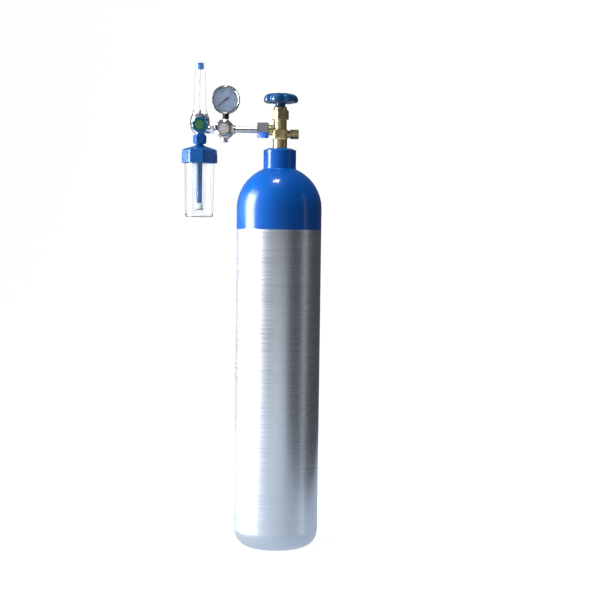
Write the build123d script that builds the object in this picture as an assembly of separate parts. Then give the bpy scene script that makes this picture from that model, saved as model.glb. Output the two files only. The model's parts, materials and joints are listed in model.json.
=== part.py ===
"""Medical oxygen cylinder with its valve, pressure regulator, float flowmeter and humidifier.

The cylinder stands on its foot ring at the origin, +Z up.  The valve outlet and the whole regulator arm
point to -X, and the gauge, the flow knob and the regulator's front cap face -Y.  Millimetres throughout.
"""

from build123d import *
from math import cos, radians, sin, sqrt
import os

# ---------------------------------------------------------------- cylinder
BODY_R = 79.5            # outside radius of the seamless vessel
WALL = 11.0
FOOT_CORNER = 34.0       # outside radius between wall and foot
FOOT_DISH_R = 38.0       # inner edge of the ring the vessel stands on
FOOT_DISH_DEPTH = 4.0
FLOOR = 18.0             # height of the inside floor
DOME_Z = 639.0           # centre of the hemispherical shoulder
NECK_R = 30.5
NECK_FILLET = 3.0
NECK_EDGE_Z = 747.5      # where the neck's side ends and its chamfer begins
NECK_TOP = 751.0
NECK_TOP_R = 22.0
PAINT_LINE = 600.0       # lower edge of the painted shoulder
PAINT = 0.25             # thickness of the coat
THREAD_END_Z = 725.0     # bottom of the tapered neck thread
THREAD_TOP_R = 14.0
THREAD_END_R = 12.4
THREAD_GAP = 0.1

# ---------------------------------------------------------------- valve
STEM_R = 13.4
BLOCK = 28.4             # width of the forged block
BLOCK_LOW = 768.0
BLOCK_HIGH = 785.5
UPPER_R = 12.2
VALVE_TOP = 814.0
CHAMBER_R = 9.5
CHAMBER_FLOOR = 782.5
SEAT_Z = 783.5
OUTLET_Z = 784.5         # height of the outlet, and of the whole regulator arm
SAFETY_Z = 777.5           # height of the safety plug
SAFETY_FLATS = 15.6
PLUG_LOW, PLUG_STEP, PLUG_TOP = 785.0, 791.0, 802.0
SLOT_FLOOR = 793.0
BONNET_LOW, BONNET_HEX_TOP, BONNET_TOP = 804.4, 822.3, 829.4
BONNET_FLATS = 28.4
BONNET_TURN = 14.0         # turn of the hexagon about the valve axis
BONNET_CEILING = 815.0
SPINDLE_R = 6.0
SQUARE = 8.0
WHEEL_LOW, WHEEL_TOP = 834.8, 851.8
WHEEL_R = 33.2
WHEEL_LOBES = 7
WHEEL_LOBE_R = 10.1
LOBE_TURN = -103.0       # direction of one lobe of the handwheel, and of the flow knob
HUB_FLOOR = WHEEL_TOP - 7.0      # floor of the recess that holds the handwheel's spring and nut
NUT_SEAT = HUB_FLOOR + 3.4

# ---------------------------------------------------------------- regulator arm, distances left of the valve axis
ARM_R = 9.7
ARM_THREAD = 20.5
ARM_THREAD_R = 11.45
ARM_END = 36.0
NUT_NEAR, NUT_FAR = 21.4, 42.7
NUT_FLATS = 26.4
NUT_TURN = 15.0
NUT_FLANGE = 39.6
NIPPLE_R = 5.7
NIPPLE_END = 95.0
REG_X = -103.0           # regulator and relief valve
REG_R = 17.0
REG_BACK, REG_STEP, REG_FRONT = -14.0, 18.0, 24.0
INLET_BOSS_X = -83.5
OUTLET_BOSS_X = -121.5
BONNET_FRONT = 31.0
PISTON_R = 10.9
PISTON_LOW, PISTON_TOP = 19.5, 23.5
RELIEF_FORWARD = 8.0
RELIEF_PAD_Z = 767.0     # the relief valve's own heights are counted from here
RELIEF_SPRING_FLOOR, POPPET_LOW = -4.5, 4.5
GAUGE_PORT_Z = 801.5
GAUGE_X = -101.7         # the gauge stands a little off the regulator's centre
GAUGE_Z = 839.2
GAUGE_R = 26.7
GAUGE_CASE_R = GAUGE_R - 1.0
COLLAR_Z = GAUGE_PORT_Z + 3.0

# ---------------------------------------------------------------- flowmeter and humidifier
FLOW_X = -150.0
KNOB_X = -147.5          # the needle valve stands a little off the flow tube's axis
KNOB_Z = 791.2
KNOB_R = 15.5
KNOB_BADGE_R = 11.7
KNOB_LOBES = 8
KNOB_LOBE_R = 4.4
METER_LOW, METER_WAIST, METER_TOP = 777.5, 795.0, 813.0
METER_R = 18.4
SIDE_PORT_X = -131.3
CONNECTOR_NEAR = 123.4
SPIGOT_LOW = 765.1
STEM_TOP = SPIGOT_LOW - 1.2
UNION_LOW = 757.5
UNION_LEDGE = UNION_LOW + 4.1
COVER_TOP = 909.8
TUBE_PLUG_R, TUBE_PLUG_TOP, TUBE_PLUG_LOW = 7.0, 907.0, 895.6
TUBE_LOW, TUBE_TOP = 801.2, 897.1
BALL_R = 2.5
BALL_STOP_Z = 813.2
CAP_LOW, CAP_STEP, CAP_RIM, CAP_PEAK = 722.0, 739.5, 747.0, 754.0
CAP_FLATS = 64.0
CAP_CEILING = 742.5
DIP_LOW, DIP_TOP = 641.5, CAP_CEILING - 2
CAP_TURN = -6.0          # the front flat of the cap is turned slightly to the left
BOTTLE_LOW, BOTTLE_RIM = 621.5, 740.5
BOTTLE_LOW_R, BOTTLE_TOP_R, BOTTLE_MOUTH_R = 26.0, 27.8, 29.4
CAP_BORE_R = 29.7
HOSE_Z = CAP_CEILING + 3
HOSE_STOP_Y = 38.2
OUTLET_TIP_Y = 57.0
HOSE_R = 3.25


# ================================================================ helpers
def turned(*outline):
    """Solid of revolution about Z from a closed outline of (radius, height) points."""
    face = make_face(Polyline(*[(r, 0, z) for r, z in outline], close=True))
    return revolve(face, Axis.Z, 360)


def turned_edges(*edges):
    """Solid of revolution about Z from the edges of a closed outline drawn in the XZ plane."""
    return revolve(make_face(edges), Axis.Z, 360)


def at(r, z):
    """A point of a turned outline."""
    return (r, 0, z)


def rod(radius, low, high):
    return turned((0, low), (radius, low), (radius, high), (0, high))


def tube(outer, inner, low, high):
    return turned((inner, low), (outer, low), (outer, high), (inner, high))


def cone(low_r, high_r, low, high):
    return turned((0, low), (low_r, low), (high_r, high), (0, high))


def forward(x, z):
    """Places a shape drawn along +Z so that it points at the viewer's side, -Y."""
    return Location((x, 0, z), (90, 0, 0))


def leftward(z):
    """Places a shape drawn along +Z so that it points to -X from the valve axis."""
    return Location((0, 0, z), (0, -90, 0))


def rightward(z):
    """Places a shape drawn along +Z so that it points to +X from the valve axis."""
    return Location((0, 0, z), (0, 90, 0))


def prism(sides, flats, low, high, turn=0.0):
    """A regular prism of the given distance across flats."""
    outline = Rot(0, 0, turn) * RegularPolygon(flats / 2, sides, major_radius=False)
    return Pos(0, 0, low) * extrude(outline, high - low)


def hexagon(flats, low, high, low_bevel=1.0, high_bevel=1.0, turn=0.0):
    """A hexagon with its corners bevelled at each end, as a nut's are.  Bevels are along the axis."""
    corner = flats / sqrt(3)
    flat = flats / 2
    drum = turned(
        (0, low),
        (flat - 0.3, low),
        (corner, low + low_bevel),
        (corner, high - high_bevel),
        (flat - 0.3, high),
        (0, high),
    )
    return prism(6, flats, low, high, turn) & drum


def o_ring(major, minor, height):
    return Pos(0, 0, height) * Torus(major, minor)


def coil(mean_radius, wire, low, high, turns):
    """A round-wire compression spring between two heights."""
    rise = high - low - wire
    path = Helix(pitch=rise / turns, height=rise, radius=mean_radius)
    section = Plane(origin=path @ 0, z_dir=path % 0) * Circle(wire / 2)
    return Pos(0, 0, low + wire / 2) * sweep(section, path, is_frenet=True)


# ================================================================ cylinder
def shoulder_edges(coat, start_z):
    """Outside line of the vessel from start_z up to the neck's top, grown outward by coat (or shrunk)."""
    blend_r = NECK_R + NECK_FILLET
    reach = BODY_R + NECK_FILLET
    blend_z = DOME_Z + sqrt(reach**2 - blend_r**2)
    share = (BODY_R + coat) / reach
    dome_end = at(blend_r * share, DOME_Z + (blend_z - DOME_Z) * share)
    dome_mid = at(
        (BODY_R + coat) * cos(radians(35)), DOME_Z + (BODY_R + coat) * sin(radians(35))
    )
    neck_start = at(NECK_R + coat, blend_z)
    blend_mid = at(
        blend_r - (NECK_FILLET - coat) * cos(radians(32)),
        blend_z - (NECK_FILLET - coat) * sin(radians(32)),
    )
    slope = sqrt((NECK_R - NECK_TOP_R) ** 2 + (NECK_TOP - NECK_EDGE_Z) ** 2)
    rise = NECK_TOP - NECK_EDGE_Z
    run = NECK_R - NECK_TOP_R
    edge = at(NECK_R + coat, NECK_EDGE_Z + coat * (slope - rise) / run)
    top = at(NECK_TOP_R + coat * slope / rise, NECK_TOP)
    wall_start = at(BODY_R + coat, start_z)
    wall_end = at(BODY_R + coat, DOME_Z)
    return [
        Line(wall_start, wall_end),
        ThreePointArc(wall_end, dome_mid, dome_end),
        ThreePointArc(dome_end, blend_mid, neck_start),
        Line(neck_start, edge),
        Line(edge, top),
        Line(top, at(0, NECK_TOP)),
    ]


def vessel_outside():
    """The vessel as if it were solid.  It is cut back under the coat, so that the coat lies flush."""
    foot = BODY_R - FOOT_CORNER
    bend = FOOT_CORNER * (1 - cos(radians(45)))
    return turned_edges(
        ThreePointArc(
            at(0, FOOT_DISH_DEPTH),
            at(FOOT_DISH_R / 2, FOOT_DISH_DEPTH * 0.75),
            at(FOOT_DISH_R, 0),
        ),
        Line(at(FOOT_DISH_R, 0), at(foot, 0)),
        ThreePointArc(at(foot, 0), at(BODY_R - bend, bend), at(BODY_R, FOOT_CORNER)),
        Line(at(BODY_R, FOOT_CORNER), at(BODY_R, PAINT_LINE)),
        Line(at(BODY_R, PAINT_LINE), at(BODY_R - PAINT, PAINT_LINE)),
        *shoulder_edges(-PAINT, PAINT_LINE),
        Line(at(0, NECK_TOP), at(0, FOOT_DISH_DEPTH)),
    )


def cylinder_shell():
    inside_r = BODY_R - WALL
    corner = FOOT_CORNER - 6
    bend = corner * (1 - cos(radians(45)))
    dome_low = DOME_Z - 3
    crown_r = 18.0
    crown_z = dome_low + sqrt(inside_r**2 - crown_r**2)
    mid = inside_r * cos(radians(45))
    throat_z = crown_z + 4
    cavity = turned_edges(
        Line(at(0, FLOOR), at(inside_r - corner, FLOOR)),
        ThreePointArc(
            at(inside_r - corner, FLOOR),
            at(inside_r - bend, FLOOR + bend),
            at(inside_r, FLOOR + corner),
        ),
        Line(at(inside_r, FLOOR + corner), at(inside_r, dome_low)),
        ThreePointArc(
            at(inside_r, dome_low), at(mid, dome_low + mid), at(crown_r, crown_z)
        ),
        Line(at(crown_r, crown_z), at(THREAD_END_R, throat_z)),
        Line(at(THREAD_END_R, throat_z), at(THREAD_END_R, THREAD_END_Z)),
        Line(at(THREAD_END_R, THREAD_END_Z), at(THREAD_TOP_R, NECK_TOP)),
        Line(at(THREAD_TOP_R, NECK_TOP), at(0, NECK_TOP)),
        Line(at(0, NECK_TOP), at(0, FLOOR)),
    )
    return vessel_outside() - cavity


def shoulder_paint():
    coated = turned_edges(
        Line(at(0, PAINT_LINE), at(BODY_R, PAINT_LINE)),
        *shoulder_edges(0, PAINT_LINE),
        Line(at(0, NECK_TOP), at(0, PAINT_LINE)),
    )
    return coated - vessel_outside()


# ================================================================ cylinder valve
def valve_body():
    end_r = THREAD_END_R - THREAD_GAP
    core = turned(
        (0, THREAD_END_Z - 2),
        (end_r - 1, THREAD_END_Z - 2),
        (end_r, THREAD_END_Z),
        (THREAD_TOP_R - THREAD_GAP, NECK_TOP),
        (STEM_R, NECK_TOP),
        (STEM_R, BLOCK_LOW),
        (UPPER_R, BLOCK_LOW),
        (UPPER_R, VALVE_TOP - 1),
        (UPPER_R - 1, VALVE_TOP),
        (0, VALVE_TOP),
    )
    block = extrude(
        chamfer(Rectangle(BLOCK, BLOCK).vertices(), 5.0), BLOCK_HIGH - BLOCK_LOW
    )
    block = chamfer(block.faces().filter_by(Axis.Z).edges(), 1.2)
    block = Pos(0, 0, BLOCK_LOW) * block
    arm = turned(
        (0, 0),
        (ARM_R, 0),
        (ARM_R, ARM_THREAD),
        (ARM_THREAD_R, ARM_THREAD + 1.2),
        (ARM_THREAD_R, ARM_END - 1),
        (10.4, ARM_END),
        (0, ARM_END),
    )
    boss = turned((0, 0), (7.6, 0), (7.6, 15.5), (6.6, 16.5), (6.6, 18.5), (0, 18.5))
    metal = core + block + leftward(OUTLET_Z) * arm + rightward(SAFETY_Z) * boss
    chamber = tube(CHAMBER_R, 5.0, CHAMBER_FLOOR, SEAT_Z)
    chamber += rod(CHAMBER_R, SEAT_Z, VALVE_TOP)
    inlet = rod(4.0, THREAD_END_Z - 2, SEAT_Z - 4) + rod(3.0, SEAT_Z - 4, SEAT_Z)
    outlet = rod(3.5, 6.5, 21.0) + cone(3.5, 8.2, 21.0, 26.0) + rod(8.2, 26.0, ARM_END)
    safety = rod(1.8, 0, 9.2) + rod(5.1, 9.2, 18.5)
    return (
        metal
        - chamber
        - inlet
        - leftward(OUTLET_Z) * outlet
        - rightward(SAFETY_Z) * safety
    )


def dust_tube():
    return tube(3.95, 2.5, THREAD_END_Z - 40, THREAD_END_Z + 14)


def valve_plug():
    """Screwed lower plug that opens and shuts the seat."""
    plug = turned(
        (0, PLUG_LOW),
        (5.6, PLUG_LOW),
        (6.5, PLUG_LOW + 0.9),
        (6.5, PLUG_STEP),
        (CHAMBER_R - 0.1, PLUG_STEP + 1),
        (CHAMBER_R - 0.1, PLUG_TOP),
        (0, PLUG_TOP),
    )
    pocket = rod(5.02, PLUG_LOW, PLUG_LOW + 2)
    depth = PLUG_TOP - SLOT_FLOOR
    slot = Pos(0, 0, SLOT_FLOOR + depth / 2) * Box(2 * CHAMBER_R, 4.2, depth)
    return plug - pocket - slot


def seat_disc():
    return rod(5.0, SEAT_Z, PLUG_LOW + 2)


def valve_spindle():
    """Non-rising spindle: tongue in the plug, thrust flange, round stem, square and thread."""
    flange_low, flange_high = VALVE_TOP - 4, VALVE_TOP - 0.7
    blade = Pos(0, 0, VALVE_TOP - 9.5) * Box(17.0, 4.0, 11.0)
    stem = turned(
        (0, flange_low),
        (9.0, flange_low),
        (9.0, flange_high),
        (SPINDLE_R, flange_high),
        (SPINDLE_R, BONNET_TOP + 0.2),
        (0, BONNET_TOP + 0.2),
    )
    square_low = BONNET_TOP + 0.2
    square = Pos(0, 0, square_low) * extrude(Rectangle(SQUARE, SQUARE), HUB_FLOOR - square_low)
    tip = HUB_FLOOR + 6.8
    thread = turned((0, HUB_FLOOR), (3.0, HUB_FLOOR), (3.0, tip - 0.6), (2.4, tip), (0, tip))
    return blade + stem + square + thread


def spindle_washer():
    return tube(9.3, SPINDLE_R + 0.2, VALVE_TOP - 0.6, BONNET_CEILING)


def bonnet_nut():
    drum = hexagon(BONNET_FLATS, BONNET_LOW, BONNET_HEX_TOP, 1.0, 2.2, turn=BONNET_TURN)
    collar = turned_edges(
        Line(at(0, BONNET_HEX_TOP), at(12.6, BONNET_HEX_TOP)),
        Line(at(12.6, BONNET_HEX_TOP), at(12.4, BONNET_HEX_TOP + 2)),
        ThreePointArc(
            at(12.4, BONNET_HEX_TOP + 2), at(11.6, BONNET_TOP - 1.9), at(9.4, BONNET_TOP)
        ),
        Line(at(9.4, BONNET_TOP), at(0, BONNET_TOP)),
        Line(at(0, BONNET_TOP), at(0, BONNET_HEX_TOP)),
    )
    thread = rod(UPPER_R + 0.1, BONNET_LOW, BONNET_CEILING)
    bore = rod(SPINDLE_R + 0.06, BONNET_CEILING, BONNET_TOP)
    return drum + collar - thread - bore


def bonnet_gasket():
    return tube(UPPER_R - 0.05, 9.6, VALVE_TOP, BONNET_CEILING)


def lobed(radius, lobe_radius, count, valley):
    """Outline of a hand-grip: a round hub with lobes, valleys rounded."""
    centre = radius - lobe_radius
    outline = Circle(centre + lobe_radius * 0.45)
    for lobe in PolarLocations(centre, count, start_angle=LOBE_TURN):
        outline += lobe * Circle(lobe_radius)
    return fillet(outline.vertices(), valley)


def handwheel():
    grip = extrude(lobed(WHEEL_R, WHEEL_LOBE_R, WHEEL_LOBES, 4.0), WHEEL_TOP - WHEEL_LOW)
    grip = Pos(0, 0, WHEEL_LOW) * grip
    envelope = turned_edges(
        Line(at(0, WHEEL_LOW), at(28.2, WHEEL_LOW)),
        ThreePointArc(
            at(28.2, WHEEL_LOW), at(32.1, WHEEL_LOW + 1.6), at(WHEEL_R, WHEEL_LOW + 5.4)
        ),
        ThreePointArc(
            at(WHEEL_R, WHEEL_LOW + 5.4), at(29.9, WHEEL_LOW + 11.8), at(19.5, WHEEL_TOP - 0.8)
        ),
        ThreePointArc(
            at(19.5, WHEEL_TOP - 0.8), at(15.0, WHEEL_TOP - 0.2), at(10.5, WHEEL_TOP)
        ),
        Line(at(10.5, WHEEL_TOP), at(0, WHEEL_TOP)),
        Line(at(0, WHEEL_TOP), at(0, WHEEL_LOW)),
    )
    wheel = grip & envelope
    hub = rod(9.5, BONNET_TOP + 0.4, WHEEL_LOW + 1)
    roof = WHEEL_LOW + 6.4
    hollow = turned((12.5, WHEEL_LOW), (21.5, WHEEL_LOW), (19.5, roof), (13.5, roof))
    recess = cone(8.6, 9.6, HUB_FLOOR, WHEEL_TOP)
    square = Pos(0, 0, (BONNET_TOP + HUB_FLOOR) / 2) * Box(
        SQUARE + 0.1, SQUARE + 0.1, HUB_FLOOR - BONNET_TOP
    )
    return wheel + hub - hollow - recess - square


def handwheel_spring():
    return coil(4.2, 0.9, HUB_FLOOR, NUT_SEAT, 2.5)


def handwheel_nut():
    return hexagon(10.0, NUT_SEAT, NUT_SEAT + 4, 0.4, 0.8) - rod(3.02, NUT_SEAT, NUT_SEAT + 4)


def safety_plug():
    """Hexagon plug that holds the burst disc, with cross vents."""
    head = hexagon(SAFETY_FLATS, 18.6, 35.0, 0.8, 1.2)
    waist = rod(5.0, 10.5, 18.6)
    bore = rod(1.8, 10.5, 28.0)
    vent = Pos(0, 0, 25.0) * (Rot(90, 0, 0) * Cylinder(1.2, 20) + Rot(0, 90, 0) * Cylinder(1.2, 20))
    return rightward(SAFETY_Z) * (head + waist - bore - vent)


def burst_disc():
    return rightward(SAFETY_Z) * rod(4.9, 10.2, 10.5)


def burst_washer():
    return rightward(SAFETY_Z) * tube(4.9, 2.0, 9.2, 10.2)


# ================================================================ regulator
def inlet_nut():
    nut = hexagon(NUT_FLATS, NUT_NEAR, NUT_FAR, 1.4, 1.8, turn=NUT_TURN)
    thread = rod(ARM_THREAD_R + 0.1, NUT_NEAR, NUT_FLANGE)
    hole = rod(NIPPLE_R + 0.15, NUT_FLANGE, NUT_FAR)
    return leftward(OUTLET_Z) * (nut - thread - hole)


def inlet_nipple():
    """Bull nose, collar behind the nut's flange, and the tube that carries the regulator."""
    outside = turned(
        (0, 21.6),
        (3.7, 21.6),
        (8.0, 26.2),
        (8.0, 30.0),
        (6.8, 30.0),
        (6.8, 31.9),
        (8.0, 31.9),
        (8.0, ARM_END + 0.2),
        (10.2, ARM_END + 0.2),
        (10.2, NUT_FLANGE - 0.1),
        (NIPPLE_R, NUT_FLANGE - 0.1),
        (NIPPLE_R, -INLET_BOSS_X),
        (5.5, -INLET_BOSS_X),
        (5.5, NIPPLE_END),
        (0, NIPPLE_END),
    )
    bore = rod(2.5, 21.6, NIPPLE_END) + rod(4.0, 75.0, NIPPLE_END)
    return leftward(OUTLET_Z) * (outside - bore)


def nipple_o_ring():
    return leftward(OUTLET_Z) * o_ring(7.5, 0.68, 30.95)


def inlet_filter():
    """Sintered thimble that stops grit before the regulator seat."""
    return leftward(OUTLET_Z) * (rod(3.95, 75.2, 94.8) - rod(2.2, 80.0, 94.8))


def regulator_body():
    barrel = turned(
        (0, REG_BACK),
        (REG_R - 4, REG_BACK),
        (REG_R, REG_BACK + 4),
        (REG_R, REG_STEP),
        (14.0, REG_STEP),
        (14.0, REG_FRONT),
        (0, REG_FRONT),
    )
    barrel = forward(REG_X, OUTLET_Z) * barrel
    inlet_boss = leftward(OUTLET_Z) * turned(
        (0, -INLET_BOSS_X), (8.0, -INLET_BOSS_X), (8.5, 85.0), (8.5, -REG_X), (0, -REG_X)
    )
    outlet_boss = leftward(OUTLET_Z) * rod(6.8, -REG_X, -OUTLET_BOSS_X)
    gauge_boss = Pos(GAUGE_X, 0, 0) * rod(6.2, OUTLET_Z, GAUGE_PORT_Z)
    relief_boss = Pos(REG_X, -RELIEF_FORWARD, 0) * rod(7.2, RELIEF_PAD_Z, OUTLET_Z)
    metal = barrel + inlet_boss + outlet_boss + gauge_boss + relief_boss

    works = rod(11.0, 12.0, REG_FRONT) + rod(3.6, 10.0, 12.0)
    works += tube(5.5, 3.0, 6.0, 8.0) + rod(5.5, 8.0, 10.0) + rod(1.0, 0, 8.0)
    inlet = rod(5.55, -INLET_BOSS_X, NIPPLE_END) + rod(2.5, NIPPLE_END, -REG_X)
    outlet = rod(4.85, 114.0, -OUTLET_BOSS_X) + rod(1.2, 112.0, 114.0)
    low_side = Pos(-8.0, 0, 0) * rod(1.5, -1.5, 9.5)
    low_side += Pos(-6.5, 0, 8.0) * (Rot(0, 90, 0) * Cylinder(1.5, 3.0))
    thread_z = GAUGE_PORT_Z - 6.2
    gauge_port = rod(3.45, thread_z, GAUGE_PORT_Z) + rod(1.5, OUTLET_Z, thread_z)
    seat_z = RELIEF_PAD_Z + 7.5
    relief_port = rod(4.05, RELIEF_PAD_Z, seat_z) + rod(1.5, seat_z, seat_z + 6)
    return (
        metal
        - forward(REG_X, OUTLET_Z) * (works + low_side)
        - leftward(OUTLET_Z) * (inlet + outlet)
        - Pos(GAUGE_X, 0, 0) * gauge_port
        - Pos(REG_X, -RELIEF_FORWARD, 0) * relief_port
    )


def regulator_bonnet():
    cap = prism(8, 2 * REG_R, REG_STEP, BONNET_FRONT, turn=22.5)
    crown = turned(
        (0, REG_STEP),
        (18.4, REG_STEP),
        (18.4, BONNET_FRONT - 3.5),
        (14.0, BONNET_FRONT),
        (0, BONNET_FRONT),
    )
    boss = prism(4, 22.0, BONNET_FRONT, 34.5, turn=45) & rod(13.0, BONNET_FRONT, 34.5)
    boss = chamfer(boss.faces().sort_by(Axis.Z)[-1].edges(), 0.8)
    thread = rod(14.1, REG_STEP, REG_FRONT + 0.2) + rod(11.5, REG_FRONT, REG_FRONT + 1.5)
    stop = rod(4.0, PISTON_TOP + 0.1, REG_FRONT + 1.5)
    pocket = rod(9.6, 33.9, 34.5)
    return forward(REG_X, OUTLET_Z) * ((cap & crown) + boss - thread + stop - pocket)


def regulator_badge():
    return forward(REG_X, OUTLET_Z) * turned(
        (0, 33.9), (9.5, 33.9), (9.5, 34.5), (9.1, 34.9), (0, 34.9)
    )


def regulator_piston():
    piston = turned(
        (0, 9.2),
        (3.5, 9.2),
        (3.5, PISTON_LOW),
        (PISTON_R, PISTON_LOW),
        (PISTON_R, 20.6),
        (9.4, 20.6),
        (9.4, 22.4),
        (PISTON_R, 22.4),
        (PISTON_R, PISTON_TOP),
        (0, PISTON_TOP),
    )
    return forward(REG_X, OUTLET_Z) * (piston - rod(2.52, 9.2, 10.5))


def piston_o_ring():
    return forward(REG_X, OUTLET_Z) * o_ring(10.17, 0.75, 21.5)


def piston_seat_pad():
    return forward(REG_X, OUTLET_Z) * rod(2.5, 9.0, 10.5)


def regulator_spring():
    return forward(REG_X, OUTLET_Z) * coil(7.2, 1.5, 12.0, PISTON_LOW, 3)


def relief_body():
    """Safety valve housing screwed into the regulator's underside."""
    housing = turned(
        (0, -6.5),
        (5.3, -6.5),
        (6.5, -5.3),
        (6.5, -3.0),
        (5.6, -2.4),
        (5.6, -1.8),
        (6.5, -1.2),
        (6.5, 0),
        (4.0, 0),
        (4.0, 7.4),
        (0, 7.4),
    )
    bore = rod(2.6, RELIEF_SPRING_FLOOR, 7.4) + rod(1.2, -6.5, RELIEF_SPRING_FLOOR)
    return Pos(REG_X, -RELIEF_FORWARD, RELIEF_PAD_Z) * (housing - bore)


def relief_poppet():
    return Pos(REG_X, -RELIEF_FORWARD, RELIEF_PAD_Z) * turned(
        (0, POPPET_LOW), (2.5, POPPET_LOW), (2.5, 6.6), (1.9, 7.3), (0, 7.3)
    )


def relief_spring():
    spring = coil(1.8, 0.6, RELIEF_SPRING_FLOOR, POPPET_LOW, 6)
    return Pos(REG_X, -RELIEF_FORWARD, RELIEF_PAD_Z) * spring


# ================================================================ pressure gauge
def gauge_case():
    cup = turned(
        (0, -11.0),
        (GAUGE_CASE_R - 2, -11.0),
        (GAUGE_CASE_R, -9.0),
        (GAUGE_CASE_R, 12.0),
        (GAUGE_CASE_R - 1.2, 12.0),
        (GAUGE_CASE_R - 1.2, -8.4),
        (GAUGE_CASE_R - 2.4, -9.8),
        (0, -9.8),
    )
    hole = Rot(90, 0, 0) * rod(5.05, 20.0, GAUGE_R + 1)
    return forward(GAUGE_X, GAUGE_Z) * (cup - hole)


def gauge_bezel():
    return forward(GAUGE_X, GAUGE_Z) * turned(
        (GAUGE_CASE_R + 0.05, 8.0),
        (GAUGE_R, 8.0),
        (GAUGE_R, 13.6),
        (GAUGE_R - 0.6, 14.7),
        (GAUGE_R - 1.6, 15.2),
        (GAUGE_R - 2.6, 14.9),
        (GAUGE_R - 3.0, 14.2),
        (GAUGE_R - 3.0, 13.6),
        (GAUGE_CASE_R + 0.05, 13.6),
    )


def gauge_lens():
    return forward(GAUGE_X, GAUGE_Z) * rod(GAUGE_CASE_R - 0.1, 12.0, 13.6)


def gauge_dial():
    return forward(GAUGE_X, GAUGE_Z) * tube(GAUGE_CASE_R - 1.4, 1.3, 7.0, 7.6)


def gauge_pointer():
    """Pointer at zero, on the arbor that runs back into the movement."""
    tip, tail, half = 19.5, 8.0, 1.5
    blade = make_face(
        Polyline((-0.25, tip), (-half, 0), (-1.3, -tail), (1.3, -tail), (half, 0), (0.25, tip), close=True)
    )
    blade = Pos(0, 0, 9.2) * extrude(blade, 0.6)
    zero = Rot(0, 0, 130) * blade
    return forward(GAUGE_X, GAUGE_Z) * (zero + rod(2.4, 9.0, 10.4) + rod(0.7, -0.8, 9.0))


def gauge_movement():
    """The two brass plates and pillars that carry the pointer's arbor and hold the dial."""
    plates = Pos(0, 0, -0.5) * Box(16, 18, 1.0) + Pos(0, 0, 4.5) * Box(16, 18, 1.0)
    pillars = Sketch()
    for place in GridLocations(12, 14, 2, 2):
        pillars += place * Circle(1.4)
    pillars = Pos(0, 0, -1.0) * extrude(pillars, 8.0)
    foot = Pos(0, -11.4, -2.0) * Box(8, 6.8, 4.0)
    return forward(GAUGE_X, GAUGE_Z) * (plates + pillars + foot - rod(0.8, -1.0, 5.0))


def gauge_block():
    """The block inside the case that the curved tube is brazed to, before it is placed."""
    return Pos(0, -18.3, -3.5) * Box(10, 7.0, 9.0)


def bourdon_tube():
    """Flattened C-shaped tube, from the socket block round to its free tip."""
    path = CenterArc((0, 0, -5.5), 18.0, -76, 300)
    section = Plane(origin=path @ 0, x_dir=(0, 0, 1), z_dir=path % 0) * RectangleRounded(5.0, 2.0, 0.9)
    return forward(GAUGE_X, GAUGE_Z) * (sweep(section, path) - gauge_block())


def gauge_socket():
    block = gauge_block()
    port = GAUGE_Z - GAUGE_PORT_Z
    step = GAUGE_Z - COLLAR_Z
    shank = rod(5.0, 20.0, step) + rod(4.2, step, port) + rod(3.4, port, port + 6)
    shank = Rot(90, 0, 0) * (shank - rod(1.5, 17.0, port + 6))
    return forward(GAUGE_X, GAUGE_Z) * (block + shank)


def gauge_collar():
    collar = tube(6.0, 5.05, COLLAR_Z, GAUGE_Z - GAUGE_CASE_R + 1)
    case = forward(GAUGE_X, GAUGE_Z) * rod(GAUGE_CASE_R + 0.05, -12.0, 12.0)
    return Pos(GAUGE_X, 0, 0) * collar - case


# ================================================================ flowmeter
def connector_tube():
    return leftward(OUTLET_Z) * tube(4.8, 1.6, 114.1, 141.0)


def connector_nut():
    far = -SIDE_PORT_X - 0.1
    nut = hexagon(14.0, CONNECTOR_NEAR, far, 0.9, 0.4, turn=30)
    return leftward(OUTLET_Z) * (nut - rod(4.86, CONNECTOR_NEAR, far))


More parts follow.
